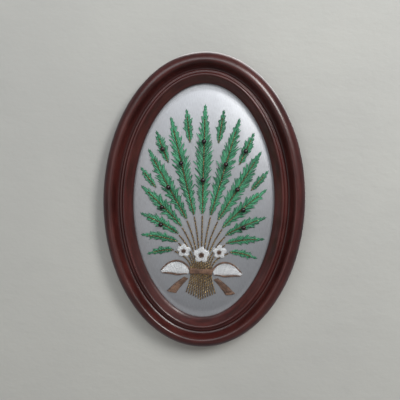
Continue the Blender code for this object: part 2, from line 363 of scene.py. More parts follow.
def buildMoulding():
    front = smoothSection(moulding["section"][1:], moulding["spanSteps"])
    rebateInset = moulding["reach"] - moulding["rebateWidth"]
    lip = moulding["section"][-1][1] - moulding["lipSetback"]
    corners = [
        (moulding["reach"], lip),
        (moulding["reach"], moulding["rebateDepth"]),
        (rebateInset, moulding["rebateDepth"]),
        (rebateInset, 0.0),
    ]
    section = [Vector(moulding["section"][0]), *front, *(Vector(corner) for corner in corners)]
    line = [(-point.x, -point.y, 0.0) for point in section]
    base = lineObject("mouldingSection", [line], {"inset": [[point.x for point in section]]})
    bm = bmesh.new()
    bm.from_mesh(base.data)
    bm.verts.ensure_lookup_table()
    bm.edges.new((bm.verts[-1], bm.verts[0]))
    bm.to_mesh(base.data)
    bm.free()
    sizes = {
        "Half width": moulding["width"] / 2,
        "Half height": moulding["height"] / 2,
        "Steps": moulding["steps"],
    }
    piece = growPiece("frameMoulding", base, mouldingTree(), sizes, lacquerMaterial())
    piece.data.set_sharp_from_angle(angle=math.radians(moulding["creaseAngle"]))
    place(piece, "lacquered_wood", "frame")


buildMoulding()
print("frame made")


# Satin: one skin over the padded oval, folded round its edge

satin = {
    "halfWidth": 0.0650,
    "halfHeight": 0.10475,
    "back": 0.0023,
    "edge": 0.0043,
    "rise": 0.0050,
    "power": 3.0,
    "domeHalfWidth": 0.0590,
    "domeHalfHeight": 0.09508,
    "seat": 0.00045,
    "rings": 64,
    "steps": 240,
    "edgeRounding": 0.0007,
    "creaseAngle": 50,
    "fill": 0.9,
    "dark": (0.40, 0.41, 0.43),
    "light": (0.56, 0.575, 0.605),
    "metallic": 0.80,
    "roughness": 0.36,
    "threadPitch": 0.00034,
}


def satinHeight(across, up):
    reach = math.hypot(across / satin["domeHalfWidth"], up / satin["domeHalfHeight"])
    return satin["edge"] + satin["rise"] * max(0.0, 1.0 - reach ** satin["power"])


def satinMaterial():
    material, maker, shader = newMaterial("silverSatin")
    x, y, z = objectPlace(maker)
    pitch = 2 * math.pi / satin["threadPitch"]
    warp = (x * pitch).sine() * 0.5 + 0.5
    weft = ((z + x * 0.32) * (pitch * 0.55)).sine() * 0.5 + 0.5
    slubs = maker.noise(maker.join(x * 2400.0, 0.0, z * 260.0), 1.0, 3.0, 0.6)
    # Painted sheen: soft streaks stretched along the warp lighten the colour, and the same noise gives a gentle ripple
    # in the bump
    paintedSheenAndRipple = maker.noise(maker.join(x * 55.0, 0.0, z * 26.0), 1.0, 3.0, 0.5)
    tone = 0.55 * maker.ease(slubs, 0.30, 0.72) + 0.25 * warp + 0.20 * paintedSheenAndRipple
    maker.feed(shader["Base Color"], maker.mix(tone, satin["dark"], satin["light"]))
    maker.feed(shader["Roughness"], satin["roughness"] + 0.10 * slubs + 0.05 * weft)
    soft = bumped(maker, paintedSheenAndRipple, 0.00035)
    fine = warp * 0.5 + weft * 0.3 + slubs * 0.9
    maker.feed(shader["Normal"], bumped(maker, fine, 0.00004, 0.8, soft))
    shader["Metallic"].default_value = satin["metallic"]
    return material


def buildSatin():
    steps, rings, rounding = satin["steps"], satin["rings"], satin["edgeRounding"]
    rows = []
    for ring in range(1, rings + 1):
        rows.append((ring / rings * (1.0 - rounding / satin["halfHeight"]), None))
    for turn in (30, 60, 90):
        angle = math.radians(turn)
        share = 1.0 - rounding * (1.0 - math.sin(angle)) / satin["halfHeight"]
        rows.append((share, satin["edge"] - rounding * (1.0 - math.cos(angle))))
    rows.append((1.0, satin["back"]))
    bm = bmesh.new()
    front = bm.verts.new((0.0, -satinHeight(0.0, 0.0), 0.0))
    back = bm.verts.new((0.0, -satin["back"], 0.0))
    lines = []
    for share, height in rows:
        line = []
        for step in range(steps):
            angle = 2 * math.pi * step / steps
            across = satin["halfWidth"] * share * math.cos(angle)
            up = satin["halfHeight"] * share * math.sin(angle)
            depth = satinHeight(across, up) if height is None else height
            line.append(bm.verts.new((across, -depth, up)))
        lines.append(line)
    for step in range(steps):
        after = (step + 1) % steps
        bm.faces.new((front, lines[0][step], lines[0][after]))
        bm.faces.new((back, lines[-1][after], lines[-1][step]))
        for inner, outer in zip(lines, lines[1:]):
            bm.faces.new((inner[step], outer[step], outer[after], inner[after]))
    mesh = bpy.data.meshes.new("satinPad")
    bm.to_mesh(mesh)
    bm.free()
    mesh.materials.append(satinMaterial())
    mesh.shade_smooth()
    mesh.set_sharp_from_angle(angle=math.radians(satin["creaseAngle"]))
    piece = place(newObject("satinPad", mesh), "satin", "satin_panel")


buildSatin()
print("satin made")


# Stitches: each piece of needlework is drawn flat, x across, y up and z standing off the cloth, then laid on the satin


def layOnSatin(maker, geometry):
    x, y, z = maker.split(maker.add("GeometryNodeInputPosition"))
    across = x / satin["domeHalfWidth"]
    up = y / satin["domeHalfHeight"]
    reach = (across * across + up * up) ** 0.5
    rise = satin["rise"] * (1.0 - reach ** satin["power"]).atLeast(0.0)
    spot = maker.join(x, -(z + rise + satin["edge"]), y)
    return maker.add("GeometryNodeSetPosition", {}, {"Geometry": geometry, "Position": spot})


def closeStitches(maker, geometry, given):
    whole = maker.add("GeometryNodeRealizeInstances", {}, {"Geometry": geometry})
    return closeTree(maker, layOnSatin(maker, whole), given)


# One stitch along X, a unit long and a unit wide, its ends drawn in and down
def unitStitch(maker, sides=6, segments=5, fullness=0.45):
    values = {"Vertices": sides, "Side Segments": segments, "Radius": 0.5, "Depth": 1.0}
    rod = maker.add("GeometryNodeMeshCylinder", {}, values)
    x, y, z = maker.split(maker.add("GeometryNodeInputPosition"))
    share = z + 0.5
    swell = (math.pi * (0.06 + 0.88 * share)).sine() ** fullness
    rod = maker.store(rod, "strand", x)
    rod = maker.store(rod, "along", share)
    settle = 0.55 * (math.pi * share).sine().atLeast(0.0) ** 0.4 - 0.10
    shape = maker.join(share, x * swell, y * swell + settle)
    return maker.add("GeometryNodeSetPosition", {}, {"Geometry": rod, "Position": shape})


def tangentAngle(maker):
    x, y, z = maker.split(maker.add("GeometryNodeInputTangent"))
    return y.angleFrom(x)


# Stitches that start at the points of a line
def stitchRow(maker, line, stitch, angle, size, selection=None):
    values = {
        "Points": line,
        "Instance": stitch,
        "Rotation": maker.join(0.0, 0.0, angle),
        "Scale": maker.join(*size),
    }
    if selection is not None:
        values["Selection"] = selection
    return maker.add("GeometryNodeInstanceOnPoints", {}, values)


def raiseWork(maker, geometry, offset):
    values = {"Geometry": geometry, "Offset": maker.join(0.0, 0.0, offset)}
    return maker.add("GeometryNodeSetPosition", {}, values)


def resample(maker, geometry, pitch):
    curve = maker.add("GeometryNodeMeshToCurve", {}, {"Mesh": geometry})
    return maker.add("GeometryNodeResampleCurve", {"mode": "LENGTH"}, {"Curve": curve, "Length": pitch})


# Stranded thread: fine ply lines along each stitch, and each stitch a little lighter or darker. The colour also
# carries painted shade: darker in the creases between the strands and towards both ends of each stitch, where it goes
# into the cloth
def threadMaterial(name, thread):
    material, maker, shader = newMaterial(name)
    strand = maker.attribute("strand")
    along = maker.attribute("along")
    tone = maker.attribute("tone")
    lines = abs(((strand * thread["strands"] + along * thread["twist"]) * math.pi).sine())
    x, y, z = objectPlace(maker)
    spot = maker.join(x, y, z)
    fuzz = maker.noise(spot, 2600.0, 2.0, 0.6)
    dye = maker.ease(maker.noise(spot, thread["dyeScale"], 1.0, 0.5), 0.40, 0.62)
    tone = tone * (1.0 - thread["dyeShare"]) + thread["dyeShare"] * dye
    # Painted shade: ends is brightest at the middle of a stitch and falls off towards both ends, and lines darkens the
    # colour in the creases between the strands
    ends = 1.0 - abs(along * 2.0 - 1.0) ** 4.0
    shade = tone * 0.80 + lines * 0.25 + fuzz * 0.15 + ends * 0.12 - 0.20
    body = maker.mix(shade.atLeast(0.0).atMost(1.0), thread["dark"], thread["light"])
    maker.feed(shader["Base Color"], body)
    maker.feed(shader["Roughness"], thread["roughness"] + 0.15 * (1.0 - lines))
    maker.feed(shader["Normal"], bumped(maker, lines + fuzz * 0.4, 0.00009))
    shader["Sheen Weight"].default_value = 0.30
    shader["Sheen Roughness"].default_value = 0.35
    return material


threads = {
    "green": {
        "dark": (0.006, 0.062, 0.030),
        "light": (0.075, 0.420, 0.215),
        "strands": 4.0,
        "twist": 2.0,
        "roughness": 0.40,
        "dyeScale": 60.0,
        "dyeShare": 0.25,
    },
    "white": {
        "dark": (0.42, 0.44, 0.46),
        "light": (0.80, 0.82, 0.84),
        "strands": 4.0,
        "twist": 1.5,
        "roughness": 0.40,
        "dyeScale": 200.0,
        "dyeShare": 0.10,
    },
    "brown": {
        "dark": (0.045, 0.020, 0.012),
        "light": (0.270, 0.155, 0.100),
        "strands": 4.0,
        "twist": 1.5,
        "roughness": 0.42,
        "dyeScale": 240.0,
        "dyeShare": 0.60,
    },
}

greenThread = threadMaterial("emeraldThread", threads["green"])
whiteThread = threadMaterial("whiteThread", threads["white"])
brownThread = threadMaterial("brownThread", threads["brown"])


# Sprays: straight stitches on both sides of each centre line, in two layers, and a plied thread along it

sprays = {
    "fanCentre": (0.0, -0.036),
    "leafStart": 0.03,
    "leafEnd": 0.985,
    "leafFullness": 0.6,
    "lineSteps": 24,
    "table": [  # degrees from upright, radius of base, radius of tip, width, bow, rank at the tie
        (0.0, 0.0275, 0.1140, 0.0160, 0.00, 0),
        (15.0, 0.0275, 0.1070, 0.0156, 0.00, 1),
        (30.5, 0.0265, 0.0890, 0.0146, 0.00, 2),
        (47.0, 0.0240, 0.0680, 0.0126, 0.02, 3),
        (64.0, 0.0225, 0.0550, 0.0108, 0.03, 4),
        (82.0, 0.0210, 0.0490, 0.0094, 0.04, 5),
        (101.0, 0.0245, 0.0440, 0.0078, 0.05, 6),
        (7.8, 0.0880, 0.1110, 0.0092, 0.00, None),
        (23.2, 0.0760, 0.1000, 0.0100, 0.00, None),
        (39.8, 0.0630, 0.0800, 0.0080, 0.00, None),
    ],
    "under": {
        "Pitch": 0.00118,
        "Stitch width": 0.00110,
        "Stitch height": 0.00070,
        "Lean": 0.80,
        "Tip lean": 0.30,
        "Turn": 0.12,
        "Tooth pitch": 0.0056,
        "Tooth depth": 0.40,
        "Reach share": 1.0,
        "Raggedness": 0.10,
        "Lift": 0.00020,
        "Dullest": 0.0,
        "Brightest": 0.22,
        "Seed": 11,
    },
    "over": {
        "Pitch": 0.00200,
        "Stitch width": 0.00098,
        "Stitch height": 0.00066,
        "Lean": 0.70,
        "Tip lean": 0.28,
        "Turn": 0.24,
        "Tooth pitch": 0.0056,
        "Tooth depth": 0.40,
        "Reach share": 0.90,
        "Raggedness": 0.20,
        "Lift": 0.00062,
        "Dullest": 0.45,
        "Brightest": 1.0,
        "Seed": 47,
    },
    "ribEnd": 0.95,
    "ribHeight": 0.00125,
}


def bezier(route, share):
    first, middle, last = (Vector(spot) for spot in route)
    return (1 - share) ** 2 * first + 2 * share * (1 - share) * middle + share**2 * last


def bezierSlope(route, share):
    first, middle, last = (Vector(spot) for spot in route)
    return ((1 - share) * (middle - first) + share * (last - middle)).normalized()


def fanPlace(angle, radius):
    turn = math.radians(angle)
    across, up = sprays["fanCentre"]
    return Vector((across + radius * math.sin(turn), up + radius * math.cos(turn)))


def sidesOf(angle):
    return [1] if angle == 0 else [1, -1]


def sprayLines():
    traits = {"reach": [], "share": [], "sprayTone": []}
    routes = []
    start, end = sprays["leafStart"], sprays["leafEnd"]
    steps = sprays["lineSteps"]
    shares = [step / steps for step in range(steps + 1)]
    fullness = [math.sin(math.pi * (start + (end - start) * share)) ** sprays["leafFullness"] for share in shares]
    for number, (angle, baseRadius, tipRadius, width, bend, rank) in enumerate(sprays["table"]):
        for sign in sidesOf(angle):
            base = fanPlace(sign * angle, baseRadius)
            tip = fanPlace(sign * angle, tipRadius)
            run = tip - base
            upwards = Vector((-run.y, run.x)) * (1 if run.x >= 0 else -1)
            route = (base, (base + tip) / 2 + upwards * bend * 2, tip)
            routes.append([bezier(route, share) for share in shares])
            traits["reach"].append([width / 2 * full for full in fullness])
            traits["share"].append(shares)
            traits["sprayTone"].append([0.5 + 0.5 * math.sin(number * 2.4 + sign)] * len(shares))
    return routes, traits


def sprayTree():
    maker, given = newTree("stitchSpray", sprays["under"])
    line = resample(maker, given["Geometry"], given["Pitch"])
    stitch = unitStitch(maker)
    share = maker.field("share")
    spot = maker.add("GeometryNodeSplineParameter", {}, {}, "Length")
    wave = (spot * (2 * math.pi) / given["Tooth pitch"]).cosine()
    tooth = 1.0 - given["Tooth depth"] * (0.5 + 0.5 * wave)
    lean = given["Lean"] + (given["Tip lean"] - given["Lean"]) * share**2.5
    seed = given["Seed"]
    rows = []
    for side, shift in ((1.0, 0.0), (-1.0, 40.0)):
        ragged = maker.chance(-1.0, 1.0, seed + shift)
        turn = given["Turn"] * maker.chance(-1.0, 1.0, seed + shift + 1.0)
        lift = maker.chance(0.6, 1.4, seed + shift + 2.0)
        reach = maker.field("reach") * given["Reach share"] / given["Lean"].sine()
        length = reach * tooth * (1.0 + given["Raggedness"] * ragged)
        raised = raiseWork(maker, line, given["Lift"] * lift)
        angle = tangentAngle(maker) + side * lean + turn
        size = (length, given["Stitch width"], given["Stitch height"])
        rows.append(stitchRow(maker, raised, stitch, angle, size))
    for turn, length in ((-0.30, 0.62), (0.0, 0.85), (0.26, 0.68)):
        angle = tangentAngle(maker) + turn
        size = (given["Tooth pitch"] * length, given["Stitch width"], given["Stitch height"])
        rows.append(stitchRow(maker, line, stitch, angle, size, share.over(0.97)))
    whole = maker.add("GeometryNodeJoinGeometry", {}, {"Geometry": rows})
    tone = maker.chance(0.0, 1.0, seed + 5.0) * 0.75 + maker.field("sprayTone") * 0.25
    tone = given["Dullest"] + (given["Brightest"] - given["Dullest"]) * tone
    whole = maker.store(whole, "tone", tone, "INSTANCE")
    return closeStitches(maker, whole, given)


def buildSprays():
    routes, traits = sprayLines()
    tree = sprayTree()
    under = growPiece("leafUnderlay", lineObject("underLines", routes, traits), tree, sprays["under"], greenThread)
    place(under, "leaf_thread", *nodesNamed("spray_"))
    over = growPiece("leafStitches", lineObject("overLines", routes, traits), tree, sprays["over"], greenThread)
    place(over, "leaf_thread")
    return routes


sprayRoutes = buildSprays()
print("sprays made")


# Stems: brown silk plied with a gold strip, laid on the satin and caught down with small stitches

stems = {
    "tieHeight": -0.0585,
    "tieSpacing": 0.00140,
    "footHeight": -0.0840,
    "footRise": 0.0010,
    "footSpacing": 0.0021,
    "toSpray": 0.0018,
    "shoulder": 0.45,
    "ankle": 0.40,
    "lineSteps": 18,
    "twist": {"Step": 0.00028, "Ply radius": 0.00034, "Ply offset": 0.00028, "Twist length": 0.0026},
    "ribTwist": {"Step": 0.00028, "Ply radius": 0.00024, "Ply offset": 0.00021, "Twist length": 0.0020},
    "couching": {
        "Pitch": 0.0046,
        "Length": 0.0022,
        "Stitch width": 0.00042,
        "Stitch height": 0.00040,
        "Seed": 5,
    },
    "couchingArch": 0.00085,
    "brownDark": (0.020, 0.011, 0.006),
    "brownLight": (0.120, 0.070, 0.036),
    "goldDark": (0.190, 0.120, 0.048),
    # The bright gold of the painted glints
    "paintedGlintGold": (0.620, 0.450, 0.200),
}


def twistMaterial():
    material, maker, shader = newMaterial("goldAndBrownTwist")
    ply = maker.attribute("ply")
    x, y, z = objectPlace(maker)
    spot = maker.join(x, y, z)
    fuzz = maker.noise(spot, 1700.0, 2.0, 0.6)
    # Painted glint: bright gold patches put into the gold ply's colour by noise
    paintedGlint = maker.ease(maker.noise(spot, 900.0, 1.0, 0.5), 0.42, 0.66)
    gold = maker.mix(paintedGlint, stems["goldDark"], stems["paintedGlintGold"])
    brown = maker.mix(fuzz, stems["brownDark"], stems["brownLight"])
    maker.feed(shader["Base Color"], maker.mix(ply, brown, gold))
    maker.feed(shader["Metallic"], ply * 0.75)
    maker.feed(shader["Roughness"], 0.52 - 0.20 * ply)
    maker.feed(shader["Normal"], bumped(maker, fuzz, 0.00007))
    return material


# Two plies wound round each line
def twistTree():
    maker, given = newTree("windPlies", stems["twist"])
    line = resample(maker, given["Geometry"], given["Step"])
    tangent = maker.add("GeometryNodeInputTangent")
    aside = maker.vector("CROSS_PRODUCT", (0.0, 0.0, 1.0), tangent)
    sideX, sideY, sideZ = maker.split(aside)
    spot = maker.add("GeometryNodeSplineParameter", {}, {}, "Length")
    values = {"Resolution": 6, "Radius": given["Ply radius"]}
    profile = maker.add("GeometryNodeCurvePrimitiveCircle", {}, values)
    plies = []
    for number, phase in enumerate((0.0, math.pi)):
        turn = spot * (2 * math.pi) / given["Twist length"] + phase
        sweep = turn.cosine() * given["Ply offset"]
        offset = maker.join(sideX * sweep, sideY * sweep, turn.sine() * given["Ply offset"])
        wound = maker.add("GeometryNodeSetPosition", {}, {"Geometry": line, "Offset": offset})
        values = {"Curve": wound, "Profile Curve": profile, "Fill Caps": True}
        tube = maker.add("GeometryNodeCurveToMesh", {}, values)
        plies.append(maker.store(tube, "ply", float(number)))
    whole = maker.add("GeometryNodeJoinGeometry", {}, {"Geometry": plies})
    return closeStitches(maker, whole, given)


# Small stitches straight across a laid thread, arched over it
def couchingTree():
    maker, given = newTree("couchThread", stems["couching"])
    line = resample(maker, given["Geometry"], given["Pitch"])
    across = tangentAngle(maker) + math.pi / 2 + maker.chance(-0.25, 0.25, given["Seed"])
    half = given["Length"] * -0.5
    back = maker.join(across.cosine() * half, across.sine() * half, -0.0004)
    starts = maker.add("GeometryNodeSetPosition", {}, {"Geometry": line, "Offset": back})
    spot = maker.add("GeometryNodeSplineParameter", {}, {}, "Factor")
    middle = spot.over(0.02) * (1.0 - spot.over(0.98))
    starts = maker.store(starts, "heading", across)
    size = (given["Length"], given["Stitch width"], given["Stitch height"])
    row = stitchRow(maker, starts, unitStitch(maker, 5, 6), maker.field("heading"), size, middle)
    whole = maker.add("GeometryNodeRealizeInstances", {}, {"Geometry": row})
    whole = maker.store(whole, "ply", 1.0)
    arch = (math.pi * maker.field("along")).sine() * stems["couchingArch"]
    return closeStitches(maker, raiseWork(maker, whole, arch), given)


def stemLines():
    lines = []
    steps = stems["lineSteps"]
    height = stems["twist"]["Ply radius"] + stems["twist"]["Ply offset"]
    for angle, baseRadius, tipRadius, width, bend, rank in sprays["table"]:
        if rank is None:
            continue
        for sign in sidesOf(angle):
            sprayBase = fanPlace(sign * angle, baseRadius)
            tie = Vector((sign * rank * stems["tieSpacing"], stems["tieHeight"]))
            foot = Vector((sign * rank * stems["footSpacing"], stems["footHeight"] + rank * stems["footRise"]))
            rise = sprayBase - tie
            end = sprayBase - rise.normalized() * stems["toSpray"]
            shoulder = tie + Vector((0.0, stems["shoulder"] * rise.length))
            ankle = tie - Vector((0.0, stems["ankle"] * (tie - foot).length))
            below = [bezier((foot, ankle, tie), step / steps) for step in range(steps)]
            above = [bezier((tie, shoulder, end), step / steps) for step in range(steps + 1)]
            lines.append([(*point, height) for point in below + above])
    return lines


def buildStems():
    goldTwist = twistMaterial()
    wind = twistTree()
    lines = stemLines()
    twists = growPiece("stemTwists", lineObject("stemLines", lines, {}), wind, stems["twist"], goldTwist)
    place(twists, "stem_thread", *nodesNamed("stem_"))
    kept = int(sprays["ribEnd"] * sprays["lineSteps"]) + 1
    ribLines = [[(*point, sprays["ribHeight"]) for point in route[:kept]] for route in sprayRoutes]
    ribs = growPiece("leafRibs", lineObject("ribLines", ribLines, {}), wind, stems["ribTwist"], goldTwist)
    place(ribs, "stem_thread")
    base = lineObject("couchLines", lines, {})
    couching = growPiece("stemCouching", base, couchingTree(), stems["couching"], goldTwist)
    place(couching, "stem_thread")


buildStems()
print("stems made")


# Beads: pierced glass balls, each sewn down through its hole over the centre line of a spray

beads = {
    "radius": 0.0020,
    "lift": 0.0016,
    "hole": 0.00042,
    "sides": 26,
    "profileSteps": 12,
    "threadRadius": 0.00020,
    "table": [  # degrees from upright, radius from the fan's centre
        (0.0, 0.0880),
        (0.0, 0.0560),
        (15.0, 0.0720),
        (30.5, 0.0570),
        (47.0, 0.0470),
        (64.0, 0.0390),
        (23.2, 0.0880),
    ],
    "black": (0.006, 0.003, 0.004),
    # The colour of the painted red glints
    "red": (0.050, 0.003, 0.004),
}


def beadMaterial():
    material, maker, shader = newMaterial("garnetGlass")
    x, y, z = objectPlace(maker)
    # Painted glint: dark red patches in the black glass, placed by noise; depth here is that mask, not a depth in the
    # glass
    depth = maker.noise(maker.join(x, y, z), 420.0, 1.0, 0.5)
    maker.feed(shader["Base Color"], maker.mix(maker.ease(depth, 0.48, 0.72), beads["black"], beads["red"]))
    maker.feed(shader["Roughness"], 0.09 + 0.06 * depth)
    shader["Coat Weight"].default_value = 0.10
    shader["Coat Roughness"].default_value = 0.05
    return material


def turnedBead():
    radius, hole, steps = beads["radius"], beads["hole"], beads["profileSteps"]
    start = math.asin(hole / radius)
    profile = []
    for step in range(steps + 1):
        angle = start + (math.pi - 2 * start) * step / steps
        profile.append((radius * math.sin(angle), -radius * math.cos(angle)))
    bm = bmesh.new()
    rings = []
    for across, along in profile:
        ring = []
        for side in range(beads["sides"]):
            turn = 2 * math.pi * side / beads["sides"]
            ring.append(bm.verts.new((along, across * math.cos(turn), across * math.sin(turn))))
        rings.append(ring)
    for first, second in zip(rings, rings[1:] + rings[:1]):
        for side in range(beads["sides"]):
            after = (side + 1) % beads["sides"]
            bm.faces.new((first[side], second[side], second[after], first[after]))
    bmesh.ops.recalc_face_normals(bm, faces=bm.faces)
    mesh = bpy.data.meshes.new("beadShape")
    bm.to_mesh(mesh)
    bm.free()
    return newObject("beadShape", mesh)


def beadTree(shape):
    maker, given = newTree("sewBeads", {"Seed": 0})
    source = maker.add("GeometryNodeObjectInfo", {}, {"Object": shape}, "Geometry")
    turn = maker.chance(-math.pi, math.pi, given["Seed"])
    values = {"Points": given["Geometry"], "Instance": source, "Rotation": maker.join(0.0, 0.0, turn)}
    return closeStitches(maker, maker.add("GeometryNodeInstanceOnPoints", {}, values), given)


def beadThreadTree():
    maker, given = newTree("beadThreads", {"Radius": 0.0, "Thread radius": 0.0, "Seed": 0})
    turn = maker.chance(-math.pi, math.pi, given["Seed"])
    span = given["Radius"] * 2.7
    starts = maker.join(turn.cosine() * span * -0.5, turn.sine() * span * -0.5, -given["Radius"])
    moved = maker.store(given["Geometry"], "heading", turn)
    moved = maker.add("GeometryNodeSetPosition", {}, {"Geometry": moved, "Offset": starts})
    width = given["Thread radius"] * 2.0
    stitch = unitStitch(maker, 6, 12, 0.2)
    row = stitchRow(maker, moved, stitch, maker.field("heading"), (span, width, width))
    whole = maker.add("GeometryNodeRealizeInstances", {}, {"Geometry": row})
    ends = abs(maker.field("along") * 2.0 - 1.0)
    arch = given["Radius"] * (1.0 - ends**4.0)
    return closeStitches(maker, raiseWork(maker, whole, arch), given)


def buildBeads():
    spots = [fanPlace(sign * angle, radius) for angle, radius in beads["table"] for sign in sidesOf(angle)]
    height = satin["seat"] + beads["lift"] + beads["radius"]
    centres = [[(*spot, height)] for spot in spots]
    shape = turnedBead()
    seed = {"Seed": 2}
    glass = growPiece("glassBeads", lineObject("beadSpots", centres, {}), beadTree(shape), seed, beadMaterial())
    bpy.data.objects.remove(shape)
    place(glass, "bead", *nodesNamed("bead_"))
    sizes = {"Radius": beads["radius"], "Thread radius": beads["threadRadius"], **seed}
    base = lineObject("threadSpots", centres, {})
    place(growPiece("beadThreads", base, beadThreadTree(), sizes, brownThread), "brown_thread")


buildBeads()
print("beads made")


# Flowers: radiating stitches over a low pad, a few brown stitches near the middle, and a cluster of knots

flowers = {
    "table": [(0.0, -0.0440, 0.0080), (0.0152, -0.0410, 0.0066)],  # across, up, radius
    "petals": {
        "Petals": 5,
        "Spokes": 75,
        "Dip": 0.30,
        "Stitch width": 0.088,
        "Stitch height": 0.060,
        "Pad height": 0.00150,
        "Seed": 3,
    },
    "shading": {
        "Petals": 5,
        "Spokes": 30,
        "Inner": 0.16,
        "Outer": 0.36,
        "Stitch width": 0.030,
        "Lift": 0.00215,
        "Seed": 8,
    },
    "eyeShare": 0.20,
    "knotsPerEye": 9,
    "knots": {"Knot size": 0.00072, "Lift": 0.00235, "Seed": 4},
    "goldenAngle": 2.39996,
}


def spokeRing(maker, spokes, offset, inner):
    circle = maker.add("GeometryNodeMeshCircle", {}, {"Vertices": spokes, "Radius": inner})
    turn = maker.join(0.0, 0.0, offset)
    return maker.add("GeometryNodeTransform", {}, {"Geometry": circle, "Rotation": turn})


def spokeAngle(maker):
    x, y, z = maker.split(maker.add("GeometryNodeInputPosition"))
    return y.angleFrom(x)


# Reach of the rounded petals at each spoke, as a share of the flower's radius
def petalReach(maker, petals, dip):
    down = spokeAngle(maker) + math.pi / 2
    return 1.0 - dip + dip * abs((petals * down / 2.0).sine())


def flowersAt(maker, spots, flower):
    values = {"Points": spots, "Instance": flower, "Scale": maker.field("size")}
    whole = maker.add("GeometryNodeInstanceOnPoints", {}, values)
    return maker.add("GeometryNodeRealizeInstances", {}, {"Geometry": whole})


def petalTree():
    maker, given = newTree("stitchPetals", flowers["petals"])
    stitch = unitStitch(maker, 6, 7, 0.35)
    seed = given["Seed"]
    step = 2 * math.pi / given["Spokes"]
    rows = []
    for inner, outer, offset, shift in ((0.14, 0.90, 0.0, 0.0), (0.42, 0.985, 0.5, 10.0), (0.26, 0.66, 0.25, 20.0)):
        ring = spokeRing(maker, given["Spokes"], step * offset, inner)
        ragged = maker.chance(-0.035, 0.035, seed + shift)
        length = outer * petalReach(maker, given["Petals"], given["Dip"]) + ragged - inner
        size = (length, given["Stitch width"], given["Stitch height"])
        rows.append(stitchRow(maker, ring, stitch, spokeAngle(maker), size))
    flower = maker.add("GeometryNodeJoinGeometry", {}, {"Geometry": rows})
    flower = maker.store(flower, "tone", maker.chance(0.25, 1.0, seed + 3.0), "INSTANCE")
    flower = maker.add("GeometryNodeRealizeInstances", {}, {"Geometry": flower})
    x, y, z = maker.split(maker.add("GeometryNodeInputPosition"))
    share = (x * x + y * y) ** 0.5 / petalReach(maker, given["Petals"], given["Dip"])
    whole = flowersAt(maker, given["Geometry"], maker.store(flower, "share", share))
    pad = given["Pad height"] * (1.0 - maker.field("share") ** 6.0).atLeast(0.0)
    return closeStitches(maker, raiseWork(maker, whole, pad), given)


def shadingTree():
    maker, given = newTree("shadePetals", flowers["shading"])
    step = 2 * math.pi / given["Spokes"]
    ring = spokeRing(maker, given["Spokes"], step * 0.3, given["Inner"])
    wave = petalReach(maker, given["Petals"], 0.15)
    length = (given["Outer"] * wave - given["Inner"]) * maker.chance(0.75, 1.1, given["Seed"])
    size = (length, given["Stitch width"], given["Stitch width"])
    row = stitchRow(maker, ring, unitStitch(maker, 5, 5, 0.5), spokeAngle(maker), size)
    row = maker.store(row, "tone", maker.chance(0.0, 1.0, given["Seed"] + 1.0), "INSTANCE")
    flower = maker.add("GeometryNodeRealizeInstances", {}, {"Geometry": row})
    whole = flowersAt(maker, given["Geometry"], flower)
    return closeStitches(maker, raiseWork(maker, whole, given["Lift"]), given)


# Coiled knots, each a few turns of thread drawn down at the middle
def knotTree():
    maker, given = newTree("tieKnots", flowers["knots"])
    values = {"Resolution": 14, "Rotations": 2.4, "Start Radius": 0.62, "End Radius": 0.34, "Height": 0.55}
    coil = maker.add("GeometryNodeCurveSpiral", {}, values)
    profile = maker.add("GeometryNodeCurvePrimitiveCircle", {}, {"Resolution": 6, "Radius": 0.36})
    values = {"Curve": coil, "Profile Curve": profile, "Fill Caps": True}
    knot = maker.add("GeometryNodeCurveToMesh", {}, values)
    values = {
        "Points": given["Geometry"],
        "Instance": knot,
        "Rotation": maker.join(0.0, 0.0, maker.chance(-math.pi, math.pi, given["Seed"])),
        "Scale": given["Knot size"],
    }
    whole = maker.add("GeometryNodeInstanceOnPoints", {}, values)
    whole = maker.store(whole, "tone", maker.chance(0.0, 0.8, given["Seed"] + 1), "INSTANCE")
    whole = maker.add("GeometryNodeRealizeInstances", {}, {"Geometry": whole})
    return closeStitches(maker, raiseWork(maker, whole, given["Lift"]), given)


def buildFlowers():
    spots, sizes, knots = [], [], []
    count = flowers["knotsPerEye"]
    for across, up, radius in flowers["table"]:
        for sign in sidesOf(across):
            spots.append([(sign * across, up)])
            sizes.append([radius])
            for number in range(count):
                spread = radius * flowers["eyeShare"] * math.sqrt((number + 0.35) / count)
                turn = number * flowers["goldenAngle"]
                knots.append([(sign * across + spread * math.cos(turn), up + spread * math.sin(turn))])
    base = lineObject("flowerSpots", spots, {"size": sizes})
    petals = growPiece("flowerPetals", base, petalTree(), flowers["petals"], whiteThread)
    place(petals, "white_thread", *nodesNamed("flower_", without="eye"))
    base = lineObject("shadeSpots", spots, {"size": sizes})
    shading = growPiece("petalShading", base, shadingTree(), flowers["shading"], brownThread)
    place(shading, "brown_thread")
    base = lineObject("knotSpots", knots, {})
    eyes = growPiece("flowerKnots", base, knotTree(), flowers["knots"], brownThread)
    place(eyes, "brown_thread", *nodesNamed("flower_eye_"))


buildFlowers()
print("flowers made")


# Bow: satin stitch across each loop and tail, a brown band round each loop, and a band over the stems

